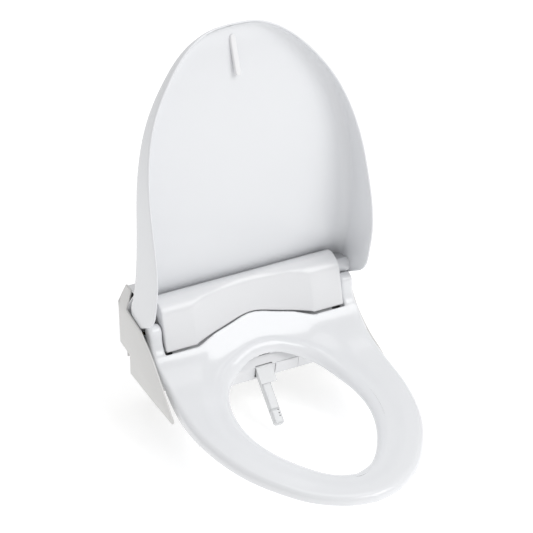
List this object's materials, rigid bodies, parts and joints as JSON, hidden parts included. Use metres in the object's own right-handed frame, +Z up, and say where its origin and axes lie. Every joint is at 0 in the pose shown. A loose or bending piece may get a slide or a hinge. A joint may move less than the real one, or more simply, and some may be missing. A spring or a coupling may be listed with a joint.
{
  "type": "electric bidet seat",
  "caption": "Heated elongated toilet seat with lid, extending wash wand, warm-air door, hinged covers and a bowl bracket.",
  "frame": {"origin": "midway between the two bowl bolts, on the plane of the bowl's rim", "axes": "+X to the right seen from the front, +Y towards the wall, +Z up; the lid is open, the seat down and the wand out"},
  "size_m": [0.3876, 0.5266, 0.6522],
  "materials": {
    "seat_white": "smooth glossy white moulding",
    "lid_white": "smooth satin-gloss white moulding",
    "cover_white": "smooth satin-gloss white moulding",
    "side_grey": "warm light grey satin moulding",
    "case_grey": "fine moulded grain",
    "wand_white": "glossy white moulding",
    "mechanism": "natural acetal",
    "rubber_grey": "soft moulded rubber",
    "rubber_dark": "moulded rubber",
    "steel": "turned and brushed",
    "zinc": "cast and plated",
    "brass": "machined",
    "board": "lacquered board",
    "black_plastic": "matt moulding",
    "tube": "translucent hose",
    "carbon": "pressed carbon block",
    "foil": "etched foil heater"
  },
  "bodies": {
    "bracket": {"mounting_plate": "case_grey", "slide_adjusters": "case_grey", "bowl_bolts": "steel"},
    "unit": {"front_cover": "cover_white", "rear_cover": "cover_white", "deck_cover": "cover_white", "hinge_wells": "cover_white", "side_cover_left": "side_grey", "side_cover_right": "side_grey", "bottom_case": "case_grey", "rubber_feet": "rubber_grey", "rear_screws": "steel", "gate_panel": "cover_white", "gate_pins": "steel", "wand_motor": "zinc", "wand_cradle": "mechanism", "water_tank": "tube", "tank_lid": "tube", "tank_heater": "steel", "inlet_fitting": "brass", "inlet_strainer": "mechanism", "inlet_valve": "brass", "flow_valve": "mechanism", "water_tubes": "tube", "controller_board": "board", "board_shield": "black_plastic", "transformer": "zinc", "fan_housing": "black_plastic", "fan_motor": "zinc", "dryer_duct": "black_plastic", "dryer_heater": "steel", "deodoriser_case": "black_plastic", "carbon_filter": "carbon", "cord_gland": "rubber_dark", "receiver_board": "board", "hinge_frames": "zinc", "lid_pins": "steel", "seat_pins": "steel", "lid_damper": "black_plastic", "seat_damper": "black_plastic"},
    "lid": {"lid_shell": "lid_white", "lid_bumper": "rubber_grey"},
    "seat": {"seat_top": "seat_white", "seat_base": "seat_white", "seat_heater": "foil", "seat_bumpers": "rubber_grey"},
    "wand": {"wand_tube": "wand_white", "wand_head": "wand_white", "wand_rack": "mechanism"},
    "pinion": {"drive_pinion": "mechanism"},
    "flap": {"nozzle_flap": "wand_white"},
    "air_door": {"dryer_door": "cover_white"},
    "fan": {"fan_impeller": "black_plastic"},
    "button": {"release_button": "side_grey"}
  },
  "joints": [
    {"name": "unit_slide", "type": "slide", "parent": "bracket", "child": "unit", "axis": [0, -1, 0], "range_m": [0, 0.05]},
    {"name": "lid_hinge", "type": "hinge", "parent": "unit", "child": "lid", "pos_m": [0, -0.014, 0.121], "axis": [1, 0, 0], "range_deg": [0, 106.8]},
    {"name": "seat_hinge", "type": "hinge", "parent": "unit", "child": "seat", "pos_m": [0, -0.033, 0.104], "axis": [1, 0, 0], "range_deg": [-100, 0]},
    {"name": "wand_slide", "type": "slide", "parent": "unit", "child": "wand", "axis": [0, -0.7431, -0.6691], "range_m": [-0.09, 0]},
    {"name": "pinion_spin", "type": "hinge", "parent": "unit", "child": "pinion", "pos_m": [-0.0055, -0.06306, 0.00749], "axis": [1, 0, 0], "range_deg": [-810, 0]},
    {"name": "flap_hinge", "type": "hinge", "parent": "unit", "child": "flap", "pos_m": [-0.00075, -0.08353, 0.01678], "axis": [1, 0, 0], "range_deg": [-18, 0]},
    {"name": "air_door_hinge", "type": "hinge", "parent": "unit", "child": "air_door", "pos_m": [0.042, -0.0834, 0.0154], "axis": [1, 0, 0], "range_deg": [-50, 0], "stiffness_Nm_per_rad": 0.003, "springref_deg": 17.19},
    {"name": "fan_spin", "type": "hinge", "parent": "unit", "child": "fan", "pos_m": [0.116, -0.029, 0.03], "axis": [0, 0, 1], "continuous": true},
    {"name": "button_press", "type": "slide", "parent": "unit", "child": "button", "axis": [-1, 0, 0], "range_m": [0, 0.004], "stiffness_N_per_m": 600}
  ],
  "couplings": [
    {"joint": "pinion_spin", "follows": "wand_slide", "rad_per_m": 156.25}
  ]
}
